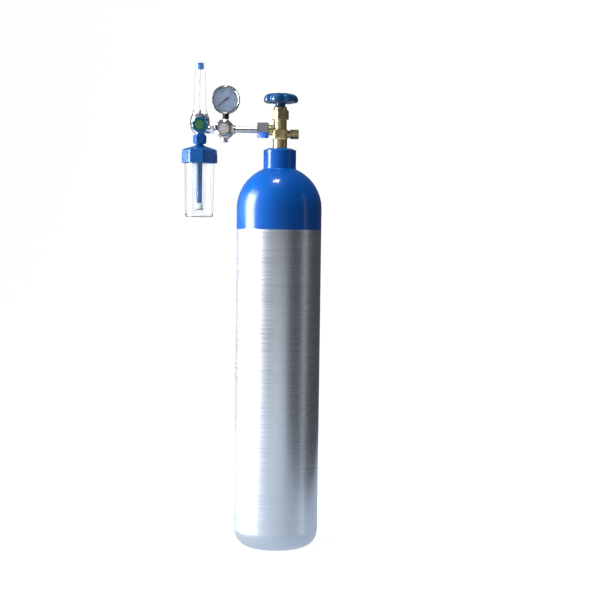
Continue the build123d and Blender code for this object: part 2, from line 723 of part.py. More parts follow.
def flowmeter_body():
    barrel = turned_edges(
        Line(at(0, SPIGOT_LOW), at(8.0, SPIGOT_LOW)),
        Line(at(8.0, SPIGOT_LOW), at(8.0, METER_LOW)),
        Line(at(8.0, METER_LOW), at(11.5, METER_LOW)),
        ThreePointArc(
            at(11.5, METER_LOW), at(METER_R, METER_WAIST), at(14.8, METER_TOP - 1.5)
        ),
        Line(at(14.8, METER_TOP - 1.5), at(14.8, METER_TOP)),
        Line(at(14.8, METER_TOP), at(0, METER_TOP)),
        Line(at(0, METER_TOP), at(0, SPIGOT_LOW)),
    )
    barrel = Pos(FLOW_X, 0, 0) * barrel
    side_boss = leftward(OUTLET_Z) * rod(7.6, -SIDE_PORT_X, 139.0)
    knob_boss = forward(KNOB_X, KNOB_Z) * rod(9.0, 0, 21.5)
    metal = barrel + side_boss + knob_boss

    socket_z = METER_TOP - 8
    tube_seat = TUBE_LOW - 0.2
    socket = rod(12.6, socket_z, METER_TOP) + rod(5.2, tube_seat, socket_z)
    socket += rod(1.5, KNOB_Z, tube_seat)
    drop_z = METER_LOW + 2
    drop = Pos(0, 8.5, 0) * rod(1.5, drop_z, socket_z)
    drop += Pos(0, 4.2, drop_z) * (Rot(90, 0, 0) * Cylinder(1.4, 8.6))
    spigot = rod(3.0, SPIGOT_LOW, METER_LOW + 3)
    needle = rod(1.0, 0, 4.0) + rod(3.1, 4.0, 11.5) + rod(4.6, 11.5, 14.0) + rod(5.1, 14.0, 21.5)
    port = leftward(OUTLET_Z) * (rod(4.85, CONNECTOR_NEAR, 141.2) + rod(1.3, 141.2, 144.0))
    fall = KNOB_Z - OUTLET_Z
    feed = Pos(8.0, -fall, 0) * rod(1.2, 0, 8.0)
    feed += Pos(4.0, -fall, 8.0) * (Rot(0, 90, 0) * Cylinder(1.3, 10.0))
    feed += Pos(0, -fall / 2, 8.0) * (Rot(90, 0, 0) * Cylinder(1.2, fall))
    feed += Pos(1, 0, 0) * (Rot(0, 90, 0) * Cylinder(1.0, 4.0))
    return (
        metal
        - Pos(FLOW_X, 0, 0) * (socket + drop + spigot)
        - forward(KNOB_X, KNOB_Z) * needle
        - forward(FLOW_X, KNOB_Z) * feed
        - port
    )


def needle_gland():
    gland = rod(5.05, 14.1, 21.5) + hexagon(13.0, 21.5, 25.0, 0.2, 0.8)
    return forward(KNOB_X, KNOB_Z) * (gland - rod(3.1, 14.1, 25.0))


def needle_o_ring():
    return forward(KNOB_X, KNOB_Z) * o_ring(3.82, 0.74, 12.75)


def needle_spindle():
    return forward(KNOB_X, KNOB_Z) * turned(
        (0, 3.0), (0.6, 3.0), (0.94, 4.2), (2.8, 7.6), (3.0, 8.4), (3.0, 36.0), (0, 36.0)
    )


def flow_knob():
    grip = Pos(0, 0, 26.0) * extrude(lobed(KNOB_R, KNOB_LOBE_R, KNOB_LOBES, 1.5), 13.0)
    front = grip.faces().sort_by(Axis.Z)[-1].edges()
    grip = fillet(front, 1.3)
    skirt = turned((0, 25.4), (11.0, 25.4), (11.8, 26.2), (0, 26.2))
    pocket = turned(
        (0, 37.4), (KNOB_BADGE_R + 0.1, 37.4), (KNOB_BADGE_R + 0.6, 39.0), (0, 39.0)
    )
    bore = rod(3.02, 25.4, 36.0) + rod(7.9, 25.4, 28.6)
    return forward(KNOB_X, KNOB_Z) * (grip + skirt - pocket - bore)


def knob_badge():
    return forward(KNOB_X, KNOB_Z) * turned(
        (0, 37.4), (KNOB_BADGE_R, 37.4), (KNOB_BADGE_R, 38.2), (KNOB_BADGE_R - 0.5, 38.7), (0, 38.7)
    )


def flow_tube_cover():
    """Clear outer tube with its flared foot, closed at the top."""
    socket_z = METER_TOP - 7.9
    outside = turned(
        (0, socket_z),
        (12.5, socket_z),
        (12.5, METER_TOP + 0.1),
        (14.2, METER_TOP + 0.1),
        (14.2, METER_TOP + 2.6),
        (12.4, METER_TOP + 7),
        (11.5, METER_TOP + 13),
        (9.4, COVER_TOP - 1.6),
        (8.9, COVER_TOP - 0.5),
        (7.9, COVER_TOP),
        (0, COVER_TOP),
    )
    inside = turned(
        (0, socket_z),
        (10.4, socket_z),
        (10.4, METER_TOP + 4),
        (9.7, METER_TOP + 13),
        (TUBE_PLUG_R + 0.35, TUBE_PLUG_LOW - 2),
        (TUBE_PLUG_R + 0.15, TUBE_PLUG_TOP + 0.1),
        (0, TUBE_PLUG_TOP + 0.1),
    )
    return Pos(FLOW_X, 0, 0) * (outside - inside)


def metering_tube():
    """Tapered tube that the float rises in, with the step the float rests on."""
    outside = turned(
        (0, TUBE_LOW), (3.6, TUBE_LOW), (3.6, METER_TOP - 1), (4.6, TUBE_TOP), (0, TUBE_TOP)
    )
    inside = turned(
        (0, TUBE_LOW),
        (1.6, TUBE_LOW),
        (1.6, BALL_STOP_Z),
        (2.6, BALL_STOP_Z),
        (3.5, TUBE_TOP),
        (0, TUBE_TOP),
    )
    return Pos(FLOW_X, 0, 0) * (outside - inside)


def float_ball():
    rest = BALL_STOP_Z + sqrt(BALL_R**2 - 1.6**2) + 0.03
    return Pos(FLOW_X, 0, rest) * Sphere(BALL_R)


def flow_tube_plug():
    """Blue plug that closes the cover and steadies the metering tube."""
    low, top, radius = TUBE_PLUG_LOW, TUBE_PLUG_TOP, TUBE_PLUG_R
    plug = turned(
        (0, low), (radius - 0.7, low), (radius, low + 1), (radius, top - 1.2), (radius - 1, top), (0, top)
    )
    pocket = rod(4.65, low, TUBE_TOP) + rod(2.2, TUBE_TOP, top - 5.8)
    return Pos(FLOW_X, 0, 0) * (plug - pocket)


def flow_tube_o_ring():
    return Pos(FLOW_X, 0, 0) * o_ring(4.4, 0.76, TUBE_LOW + 1)


# ================================================================ humidifier
def humidifier_nut():
    """Union nut that hangs the humidifier on the flowmeter's spigot."""
    drum = hexagon(22.0, UNION_LOW, UNION_LOW + 16.8, 2.6, 2.6, turn=6)
    collar = rod(9.4, UNION_LOW + 16, METER_LOW - 0.4)
    thread = rod(8.1, UNION_LEDGE, METER_LOW)
    hole = rod(6.55, UNION_LOW, UNION_LEDGE)
    return Pos(FLOW_X, 0, 0) * (drum + collar - thread - hole)


def humidifier_washer():
    return Pos(FLOW_X, 0, 0) * tube(7.6, 3.2, STEM_TOP, SPIGOT_LOW)


def humidifier_cap():
    """Screw cap with its stem up to the union nut, its socket for the dip tube and its hose tail."""
    lower = Rot(0, 0, CAP_TURN) * RegularPolygon(
        CAP_FLATS / 2, 8, major_radius=False, rotation=22.5
    )
    lower = fillet(lower.vertices(), 7.0)
    skirt = Pos(0, 0, CAP_LOW) * extrude(lower, CAP_STEP - CAP_LOW)
    upper = Pos(0, 0, CAP_STEP) * extrude(offset(lower, -0.7), CAP_PEAK - CAP_STEP)
    roof = turned(
        (0, CAP_STEP),
        (35.0, CAP_STEP),
        (35.0, CAP_RIM - 1.6),
        (31.5, CAP_RIM + 0.2),
        (9.2, CAP_PEAK),
        (0, CAP_PEAK),
    )
    stem = turned(
        (0, CAP_RIM),
        (9.2, CAP_RIM),
        (9.2, CAP_PEAK),
        (6.4, CAP_PEAK + 2.5),
        (6.4, UNION_LEDGE + 0.1),
        (7.7, UNION_LEDGE + 0.1),
        (7.7, STEM_TOP),
        (0, STEM_TOP),
    )
    backward = Location((0, 0, HOSE_Z), (-90, 0, 0))
    nozzle = backward * turned(
        (0, 18.0),
        (4.8, 18.0),
        (4.8, 37.5),
        (4.2, HOSE_STOP_Y),
        (HOSE_R, HOSE_STOP_Y),
        (HOSE_R, OUTLET_TIP_Y - 1),
        (HOSE_R - 0.8, OUTLET_TIP_Y),
        (0, OUTLET_TIP_Y),
    )
    cavity = rod(CAP_BORE_R, CAP_LOW, CAP_CEILING)
    root = rod(7.4, CAP_CEILING - 11, CAP_CEILING)
    shell = skirt + (upper & roof) + stem + nozzle - cavity + root
    bore = rod(3.0, CAP_CEILING - 6, STEM_TOP) + rod(5.62, CAP_CEILING - 11, DIP_TOP)
    gas_way = backward * rod(1.9, 18.0, OUTLET_TIP_Y)
    gas_way += Pos(0, 20.0, 0) * rod(1.7, CAP_CEILING, HOSE_Z)
    return Pos(FLOW_X, 0, 0) * (shell - bore - gas_way)


def cap_gasket():
    return Pos(FLOW_X, 0, 0) * tube(BOTTLE_MOUTH_R, 25.4, BOTTLE_RIM, CAP_CEILING)


def dip_tube():
    """Blue tube that carries the oxygen down to the diffuser."""
    outside = turned(
        (0, DIP_LOW),
        (5.1, DIP_LOW),
        (5.2, DIP_LOW + 8),
        (5.55, DIP_LOW + 80),
        (5.55, DIP_TOP),
        (0, DIP_TOP),
    )
    return Pos(FLOW_X, 0, 0) * (outside - rod(3.0, DIP_LOW, DIP_TOP))


def bubble_diffuser():
    """Slotted cup at the bottom of the dip tube."""
    low = DIP_LOW - 4.8
    cup = turned((0, low), (6.9, low), (6.9, low + 10.8), (6.4, low + 11.4), (0, low + 11.4))
    cup -= rod(5.3, DIP_LOW, low + 11.4) + rod(3.6, low + 1.2, DIP_LOW)
    for place in PolarLocations(5.3, 12):
        cup -= Pos(0, 0, low + 3) * place * Box(4.6, 1.0, 2.6)
    return Pos(FLOW_X, 0, 0) * cup


def diffuser_plate():
    top = DIP_LOW - 4.8
    return Pos(FLOW_X, 0, 0) * turned(
        (0, top - 2), (7.0, top - 2), (7.6, top - 1.4), (7.6, top), (0, top)
    )


def humidifier_bottle():
    corner = 4.0
    floor_r = BOTTLE_LOW_R - corner
    shoulder_z = CAP_LOW - 0.7
    outside = turned_edges(
        Line(at(0, BOTTLE_LOW), at(floor_r, BOTTLE_LOW)),
        ThreePointArc(
            at(floor_r, BOTTLE_LOW),
            at(floor_r + corner * sin(radians(45)), BOTTLE_LOW + corner * (1 - cos(radians(45)))),
            at(BOTTLE_LOW_R, BOTTLE_LOW + corner),
        ),
        Line(at(BOTTLE_LOW_R, BOTTLE_LOW + corner), at(BOTTLE_TOP_R, shoulder_z)),
        Line(at(BOTTLE_TOP_R, shoulder_z), at(BOTTLE_MOUTH_R, shoulder_z + 3)),
        Line(at(BOTTLE_MOUTH_R, shoulder_z + 3), at(BOTTLE_MOUTH_R, BOTTLE_RIM)),
        Line(at(BOTTLE_MOUTH_R, BOTTLE_RIM), at(0, BOTTLE_RIM)),
        Line(at(0, BOTTLE_RIM), at(0, BOTTLE_LOW)),
    )
    inside = turned(
        (0, BOTTLE_LOW + 2.4),
        (BOTTLE_LOW_R - 5, BOTTLE_LOW + 2.4),
        (BOTTLE_LOW_R - 2.2, BOTTLE_LOW + 5.2),
        (BOTTLE_TOP_R - 2.2, shoulder_z - 1),
        (26.2, shoulder_z + 4),
        (26.2, BOTTLE_RIM),
        (0, BOTTLE_RIM),
    )
    return Pos(FLOW_X, 0, 0) * (outside - inside)


PARTS = [
    cylinder_shell, shoulder_paint,
    valve_body, dust_tube, valve_plug, seat_disc, valve_spindle, spindle_washer, bonnet_nut,
    bonnet_gasket, handwheel, handwheel_spring, handwheel_nut, safety_plug, burst_disc, burst_washer,
    inlet_nut, inlet_nipple, nipple_o_ring, inlet_filter,
    regulator_body, regulator_bonnet, regulator_badge, regulator_piston, piston_o_ring,
    piston_seat_pad, regulator_spring, relief_body, relief_poppet, relief_spring,
    gauge_case, gauge_bezel, gauge_lens, gauge_dial, gauge_pointer, gauge_movement, bourdon_tube,
    gauge_socket, gauge_collar,
    connector_tube, connector_nut, flowmeter_body, needle_gland, needle_o_ring, needle_spindle,
    flow_knob, knob_badge, flow_tube_cover, metering_tube, float_ball, flow_tube_plug,
    flow_tube_o_ring,
    humidifier_nut, humidifier_washer, humidifier_cap, cap_gasket, dip_tube, bubble_diffuser,
    diffuser_plate, humidifier_bottle,
]

os.makedirs("parts", exist_ok=True)
for make in PARTS:
    export_step(make(), f"parts/{make.__name__}.step")
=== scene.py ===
"""Looks and studio for the oxygen cylinder.

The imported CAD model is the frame.  This script paints its parts, replaces those whose shape needs
finer work, and sets up the floor, the lights and the camera.  Blender works in metres, so a length
in millimetres is multiplied by MM where it is used.
"""

import json
from math import atan2, cos, pi, radians, sin, sqrt, tan

import bmesh
import bpy
from mathutils import Matrix, Vector

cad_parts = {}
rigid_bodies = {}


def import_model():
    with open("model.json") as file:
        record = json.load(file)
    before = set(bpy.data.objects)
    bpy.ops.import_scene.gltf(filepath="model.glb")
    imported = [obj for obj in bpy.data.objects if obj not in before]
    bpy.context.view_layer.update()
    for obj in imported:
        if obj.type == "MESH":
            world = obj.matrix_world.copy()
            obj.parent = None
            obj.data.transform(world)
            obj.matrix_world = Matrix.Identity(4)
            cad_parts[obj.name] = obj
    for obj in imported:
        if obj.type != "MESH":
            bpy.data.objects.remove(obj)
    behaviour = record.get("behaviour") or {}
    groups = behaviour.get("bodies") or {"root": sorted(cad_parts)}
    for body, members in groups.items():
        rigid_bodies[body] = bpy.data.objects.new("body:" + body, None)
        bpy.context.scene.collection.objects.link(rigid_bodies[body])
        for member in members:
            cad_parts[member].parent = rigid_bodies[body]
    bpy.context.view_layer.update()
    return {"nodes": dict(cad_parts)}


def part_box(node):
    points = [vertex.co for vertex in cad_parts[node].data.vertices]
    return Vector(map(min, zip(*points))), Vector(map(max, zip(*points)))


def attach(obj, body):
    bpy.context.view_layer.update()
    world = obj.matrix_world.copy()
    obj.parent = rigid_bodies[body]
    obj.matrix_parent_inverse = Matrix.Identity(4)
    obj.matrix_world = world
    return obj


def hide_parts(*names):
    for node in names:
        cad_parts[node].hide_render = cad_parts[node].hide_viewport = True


MM = 0.001

# ---------------------------------------------------------------- camera, looking along +Y, in metres
CAMERA_X = 0.0395
CAMERA_Z = 0.600
CAMERA_DISTANCE = 2.92
CAMERA_LENS = 93.2       # mm
CAMERA_PITCH = 4.0       # downward, in degrees
CAMERA_ROLL = -0.75      # degrees
CAMERA_SHIFT_Y = 0.064   # in widths of the picture

# ---------------------------------------------------------------- mesh fineness
SPIN_STEPS = 168         # columns round a turned piece
LOBE_STEPS = 40          # columns round one lobe of the handwheel
SCALLOP_STEPS = 24       # columns round one scallop of the knob
SIDE_STEPS = 36          # columns round one side of the humidifier's cap
ARC_STEPS = 5            # points round a rounded corner
STUDIO_BEND_STEPS = 16
SHARP_ANGLE = 34         # edges steeper than this stay crisp, in degrees

# ---------------------------------------------------------------- pieces, in mm and degrees
WHEEL_R = 33.2
WHEEL_VALLEY_R = 29.2    # between two lobes
WHEEL_ROUND_R = 13.0     # the wheel is round inside this, and lobed outside it
WHEEL_BORE_R = 5.7
WHEEL_DEPTH = 17.0       # from the rim's lower edge up to the top of the CAD wheel
WHEEL_RECESS = 7.0       # from that top down to the floor of the nut's recess
WHEEL_LOBES = 7
KNOB_R = 15.5
KNOB_VALLEY_R = 13.6
KNOB_ROUND_R = 12.2
KNOB_LOBES = 8
LOBE_TURN = -103         # direction of one lobe of the wheel, and of the knob
DISC_R = 11.7            # printed disc in the knob's face
DISC_RECESS = 1.6
CAP_HALF = 32.0          # from the humidifier cap's axis to a flat
CAP_CORNER = 7.0
CAP_TURN = -6
CAP_BORE_R = 29.7
CAP_ROUND_R = 12.0       # its domed top is round inside this
BOTTLE_FOOT_R = 26.0
BOTTLE_TOP_R = 27.8
BOTTLE_MOUTH_R = 29.4
BOTTLE_MARKS = 9
METER_END = 11.0         # plain lower end of the metering tube, below its taper
METER_LOW_R = 3.6
FLOW_MARKS = 10
INK_GAP = 0.02           # between a curved wall and the print on it

GAUGE_ZERO = 220         # direction of the dial's zero, from the right
GAUGE_SWEEP = 270
GAUGE_MAX = 25
GAUGE_FIGURE_STEP = 5
GAUGE_ARC_BARS = 90      # short bars that make the dial's printed arc

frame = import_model()


# ================================================================ materials
class Finish:
    """A material under construction: a Principled shader and the nodes that feed it."""

    def __init__(self, name, **sockets):
        self.material = bpy.data.materials.new(name)
        self.material.use_nodes = True
        self.tree = self.material.node_tree
        self.shader = self.tree.nodes["Principled BSDF"]
        for socket, value in sockets.items():
            self.shader.inputs[socket.replace("_", " ")].default_value = value

    def node(self, kind, settings=(), **inputs):
        made = self.tree.nodes.new("ShaderNode" + kind)
        for setting, value in dict(settings).items():
            setattr(made, setting, value)
        for socket, value in inputs.items():
            target = made.inputs[socket.replace("_", " ")]
            if isinstance(value, bpy.types.NodeSocket):
                self.tree.links.new(value, target)
            else:
                target.default_value = value
        return made

    def feed(self, socket, output):
        self.tree.links.new(output, self.shader.inputs[socket])

    def place(self, scale=(1, 1, 1)):
        """Coordinates in the row's frame, stretched by scale."""
        where = self.node("TexCoord").outputs["Object"]
        return self.node("Mapping", Vector=where, Scale=scale).outputs["Vector"]

    def noise(self, scale, size, detail=4.0, roughness=0.55):
        return self.node(
            "TexNoise",
            Vector=self.place(scale),
            Scale=size,
            Detail=detail,
            Roughness=roughness,
        ).outputs["Fac"]

    def ramp(self, value, *stops):
        """A colour ramp with (position, colour) stops."""
        made = self.node("ValToRGB", Fac=value)
        elements = made.color_ramp.elements
        while len(elements) < len(stops):
            elements.new(0.5)
        for element, (position, colour) in zip(elements, stops):
            element.position = position
            element.color = (*colour, 1.0)
        return made.outputs["Color"]

    def span(self, value, low, high, start=0.3, end=0.7):
        """value between start and end becomes low to high."""
        return self.node(
            "MapRange",
            {"clamp": True},
            Value=value,
            From_Min=start,
            From_Max=end,
            To_Min=low,
            To_Max=high,
        ).outputs["Result"]

    def bump(self, height, depth, strength=1.0, under=None):
        made = self.node("Bump", Height=height, Distance=depth, Strength=strength)
        if under is not None:
            self.tree.links.new(under, made.inputs["Normal"])
        return made.outputs["Normal"]

    def multiply(self, first, second):
        made = self.node("Math", {"operation": "MULTIPLY"})
        self.tree.links.new(first, made.inputs[0])
        self.tree.links.new(second, made.inputs[1])
        return made.outputs["Value"]

    def tinted(self, colour, share, tone):
        """colour, mixed with tone by share."""
        made = self.node("Mix", {"data_type": "RGBA"}, Factor=share)
        first, second = [socket for socket in made.inputs if socket.type == "RGBA"]
        self.tree.links.new(colour, first)
        second.default_value = (*tone, 1.0)
        return next(socket for socket in made.outputs if socket.type == "RGBA")


def brushed_aluminium():
    """Satin vessel wall with fine lines round it, broader bands, and a faint cloudiness."""
    finish = Finish("turned_aluminium", Metallic=1.0, Roughness=0.36, Anisotropic=0.55)
    lines = finish.noise((1.5, 1.5, 420.0), 2.4, 6.0, 0.7)
    bands = finish.noise((0.6, 0.6, 26.0), 2.0, 3.0, 0.6)
    cloud = finish.noise((1.0, 1.0, 0.7), 9.0, 3.0)
    both = finish.multiply(lines, bands)
    colour = finish.ramp(both, (0.1, (0.55, 0.59, 0.65)), (0.46, (0.66, 0.70, 0.77)))
    colour = finish.tinted(colour, finish.span(cloud, 0.0, 0.25), (0.62, 0.65, 0.7))
    finish.feed("Base Color", colour)
    finish.feed("Roughness", finish.span(lines, 0.23, 0.36))
    finish.feed("Normal", finish.bump(lines, 0.05 * MM, 0.35))
    tangent = finish.node("Tangent", {"direction_type": "RADIAL", "axis": "Z"})
    finish.feed("Tangent", tangent.outputs["Tangent"])
    return finish.material


def blue_paint():
    """Gloss enamel on the shoulder, with a little orange peel."""
    finish = Finish(
        "blue_enamel",
        Roughness=0.3,
        Specular_IOR_Level=0.15,
        Coat_Weight=0.2,
        Coat_IOR=1.9,
        Coat_Roughness=0.05,
    )
    cloud = finish.noise(PLAIN, 14.0, 3.0)
    colour = finish.ramp(cloud, (0.3, (0.0, 0.128, 0.60)), (0.7, (0.0, 0.148, 0.68)))
    finish.feed("Base Color", colour)
    peel = finish.noise(PLAIN, 420.0, 2.0)
    finish.feed("Normal", finish.bump(peel, 0.02 * MM, 0.25))
    return finish.material


def brass(name, grain, rough=(0.22, 0.38), forged=0.0):
    """Machined brass.  grain stretches the tool marks, and forged is the depth of a forging's skin."""
    finish = Finish(name, Metallic=1.0)
    marks = finish.noise(grain, 60.0, 5.0, 0.65)
    stain = finish.noise(PLAIN, 70.0, 4.0, 0.6)
    colour = finish.ramp(
        stain, (0.25, (0.38, 0.29, 0.14)), (0.55, (0.60, 0.47, 0.24)), (0.8, (0.70, 0.57, 0.32))
    )
    finish.feed("Base Color", colour)
    finish.feed("Roughness", finish.span(marks, *rough))
    normal = finish.bump(marks, 0.03 * MM, 0.5)
    if forged:
        skin = finish.noise(PLAIN, 900.0, 3.0, 0.7)
        normal = finish.bump(skin, forged, 0.6, normal)
    finish.feed("Normal", normal)
    return finish.material


def chrome(name, grain, rough=(0.06, 0.16), tone=0.8):
    """Plated metal with faint polishing marks."""
    finish = Finish(name, Metallic=1.0)
    marks = finish.noise(grain, 50.0, 4.0, 0.6)
    cloud = finish.noise(PLAIN, 60.0, 3.0)
    colour = finish.ramp(cloud, (0.3, (tone * 0.93,) * 3), (0.7, (tone, tone, tone * 1.02)))
    finish.feed("Base Color", colour)
    finish.feed("Roughness", finish.span(marks, *rough))
    finish.feed("Normal", finish.bump(marks, 0.008 * MM, 0.3))
    return finish.material


def moulded(name, dark, light, rough=(0.22, 0.34), coat=0.3, texture=0.01 * MM):
    """Injection-moulded plastic with a faint tone and gloss variation."""
    finish = Finish(name, Specular_IOR_Level=0.3, Coat_Weight=coat, Coat_Roughness=0.08)
    cloud = finish.noise(PLAIN, 45.0, 4.0)
    fine = finish.noise(PLAIN, 700.0, 3.0)
    finish.feed("Base Color", finish.ramp(cloud, (0.3, dark), (0.7, light)))
    finish.feed("Roughness", finish.span(cloud, *rough))
    finish.feed("Normal", finish.bump(fine, texture, 0.3))
    return finish.material


def printed(name, dark, light, rough=0.5):
    """Ink or paint on a flat face."""
    finish = Finish(name, Roughness=rough)
    cloud = finish.noise(PLAIN, 90.0, 3.0)
    finish.feed("Base Color", finish.ramp(cloud, (0.3, dark), (0.7, light)))
    return finish.material


def clear(name, tint, ior=1.49, rough=(0.0, 0.03)):
    """Clear acrylic or polycarbonate with faint flow marks."""
    finish = Finish(name, Transmission_Weight=1.0, IOR=ior)
    marks = finish.noise((1, 1, 0.4), 30.0, 3.0)
    finish.feed("Base Color", finish.ramp(marks, (0.3, tint), (0.7, tuple(min(1, c * 1.02) for c in tint))))
    finish.feed("Roughness", finish.span(marks, *rough))
    finish.feed("Normal", finish.bump(marks, 0.02 * MM, 0.2))
    return finish.material


def rubber():
    """Dull black seal."""
    finish = Finish("black_rubber")
    grain = finish.noise(PLAIN, 1200.0, 3.0)
    finish.feed("Base Color", finish.ramp(grain, (0.3, (0.012,) * 3), (0.7, (0.028,) * 3)))
    finish.feed("Roughness", finish.span(grain, 0.5, 0.75))
    finish.feed("Normal", finish.bump(grain, 0.03 * MM, 0.5))
    return finish.material


def sintered():
    """Grainy bronze of the inlet filter."""
    finish = Finish("sintered_bronze", Metallic=1.0)
    grain = finish.noise(PLAIN, 2500.0, 2.0)
    finish.feed("Base Color", finish.ramp(grain, (0.3, (0.2, 0.12, 0.06)), (0.7, (0.6, 0.42, 0.24))))
    finish.feed("Roughness", finish.span(grain, 0.45, 0.8))
    finish.feed("Normal", finish.bump(grain, 0.15 * MM, 0.8))
    return finish.material


PLAIN = (1, 1, 1)
ROUND_X = (30, 1, 1)     # tool marks round the axis named
ROUND_Y = (1, 30, 1)
ROUND_Z = (1, 1, 30)

ALUMINIUM = brushed_aluminium()
ENAMEL = blue_paint()
BRASS_UPRIGHT = brass("brass_upright", ROUND_Z)
BRASS_FORGED = brass("brass_forged", ROUND_Z, (0.28, 0.46), 0.12 * MM)
BRASS_SIDEWAYS = brass("brass_sideways", ROUND_X)
BRASS_INSIDE = brass("brass_inside", ROUND_Y, (0.3, 0.5))
CHROME_UPRIGHT = chrome("chrome_upright", ROUND_Z)
CHROME_SIDEWAYS = chrome("chrome_sideways", ROUND_X, tone=0.92)
CHROME_FORWARD = chrome("chrome_forward", ROUND_Y)
# The arm's chrome gets a lower tone than the plain chrome: painted shade, standing in for its dim
# reflections.
PAINTED_SHADE_CHROME_ARM = chrome("painted_shade_chrome_arm", ROUND_X, (0.04, 0.08), 0.55)
# The regulator's chrome gets a lower tone than the plain chrome: painted shade, standing in for its dim
# reflections.
PAINTED_SHADE_CHROME_BODY = chrome("painted_shade_chrome_body", ROUND_Y, (0.06, 0.16), 0.6)
# The bezel's chrome gets the lowest tone of all: painted shade, standing in for its dim reflections.
PAINTED_SHADE_CHROME_DARK = chrome("painted_shade_chrome_dark", ROUND_Y, (0.1, 0.2), 0.42)
STEEL = chrome("turned_steel", ROUND_Z, (0.25, 0.4), 0.55)
BLUE_PLASTIC = moulded("blue_plastic", (0.0, 0.105, 0.40), (0.0, 0.135, 0.49))
BLUE_GLOSS = moulded("blue_gloss", (0.0, 0.085, 0.26), (0.0, 0.105, 0.32), (0.16, 0.26), 0.5)
BLUE_TUBE = moulded("blue_tube", (0.0, 0.05, 0.17), (0.0, 0.065, 0.22), (0.3, 0.42), 0.0)
GREEN_PLASTIC = moulded("green_plastic", (0.0, 0.12, 0.07), (0.004, 0.16, 0.09), (0.3, 0.42), 0.1)
OLIVE_PRINT = printed("olive_print", (0.045, 0.17, 0.045), (0.075, 0.22, 0.06))
TEAL_PRINT = printed("teal_print", (0.03, 0.13, 0.12), (0.05, 0.18, 0.16))
SCALE_PRINT = printed("scale_print", (0.2, 0.24, 0.34), (0.28, 0.32, 0.42))
WHITE_PRINT = printed("white_print", (0.72, 0.68, 0.69), (0.8, 0.77, 0.78))
ROSE_PRINT = printed("rose_print", (0.48, 0.24, 0.27), (0.55, 0.3, 0.33))
DIAL_PAINT = printed("dial_paint", (0.23, 0.33, 0.49), (0.29, 0.39, 0.56), 0.6)
DARK_PRINT = printed("dark_print", (0.02, 0.025, 0.035), (0.035, 0.04, 0.05))
BLACK_PLASTIC = moulded("black_plastic", (0.015, 0.016, 0.018), (0.03, 0.031, 0.034), (0.35, 0.5), 0.1)
GREY_DIFFUSER = moulded("grey_diffuser", (0.5, 0.53, 0.56), (0.68, 0.7, 0.72), (0.45, 0.6), 0.0)
WHITE_SEAL = moulded("white_seal", (0.66, 0.66, 0.63), (0.78, 0.78, 0.75), (0.4, 0.55), 0.0)
CLEAR_TUBE = clear("clear_acrylic", (0.97, 0.975, 0.98), 1.4)
CLEAR_METER = clear("clear_meter", (0.94, 0.95, 0.96), 1.36, (0.03, 0.08))
CLEAR_BOTTLE = clear("clear_bottle", (0.93, 0.96, 0.98), 1.44)
CLEAR_LENS = clear("clear_lens", (0.97, 0.98, 0.99), 1.49, (0.0, 0.02))
RUBBER = rubber()
SINTERED = sintered()

NODE_FINISH = {
    ALUMINIUM: "cylinder_shell",
    ENAMEL: "shoulder_paint",
    BRASS_FORGED: "valve_body",
    BRASS_UPRIGHT: "bonnet_nut valve_plug",
    BRASS_SIDEWAYS: "safety_plug burst_disc",
    BRASS_INSIDE: "gauge_movement bourdon_tube needle_gland regulator_piston relief_poppet",
    CHROME_UPRIGHT: "flowmeter_body relief_body handwheel_nut gauge_socket",
    CHROME_SIDEWAYS: "inlet_nut connector_nut",
    CHROME_FORWARD: "gauge_case gauge_bezel",
    PAINTED_SHADE_CHROME_ARM: "inlet_nipple connector_tube",
    PAINTED_SHADE_CHROME_BODY: "regulator_body regulator_bonnet",
    STEEL: "valve_spindle handwheel_spring needle_spindle regulator_spring relief_spring",
    BLUE_PLASTIC: "handwheel flow_knob flow_tube_plug humidifier_nut humidifier_cap",
    BLUE_TUBE: "dip_tube",
    GREEN_PLASTIC: "knob_badge",
    WHITE_PRINT: "regulator_badge",
    DIAL_PAINT: "gauge_dial",
    DARK_PRINT: "gauge_pointer float_ball",
    BLACK_PLASTIC: "gauge_collar diffuser_plate",
    GREY_DIFFUSER: "bubble_diffuser",
    WHITE_SEAL: (
        "seat_disc spindle_washer bonnet_gasket burst_washer humidifier_washer piston_seat_pad dust_tube"
    ),
    CLEAR_TUBE: "flow_tube_cover",
    CLEAR_METER: "metering_tube",
    CLEAR_BOTTLE: "humidifier_bottle",
    CLEAR_LENS: "gauge_lens",
    RUBBER: "nipple_o_ring piston_o_ring needle_o_ring flow_tube_o_ring cap_gasket",
    SINTERED: "inlet_filter",
}


def paint(thing, finish):
    thing.data.materials.clear()
    thing.data.materials.append(finish)


def paint_cad_nodes():
    for finish, names in NODE_FINISH.items():
        for name in names.split():
            paint(frame["nodes"][name], finish)


# ================================================================ mesh helpers
def rounded(*corners):
    """A profile of (radius, height) points.  A third number in a corner, in mm too, rounds it."""
    points = []
    for index, corner in enumerate(corners):
        here = Vector(corner[:2])
        if len(corner) == 2:
            points.append(here * MM)
            continue
        before = Vector(corners[index - 1][:2]) - here
        after = Vector(corners[(index + 1) % len(corners)][:2]) - here
        reach = corner[2] / tan(before.angle(after) / 2)
        first = here + before.normalized() * min(reach, before.length * 0.49)
        last = here + after.normalized() * min(reach, after.length * 0.49)
        for step in range(ARC_STEPS + 1):
            share = step / ARC_STEPS
            points.append(first.lerp(here, share).lerp(here.lerp(last, share), share) * MM)
    return points


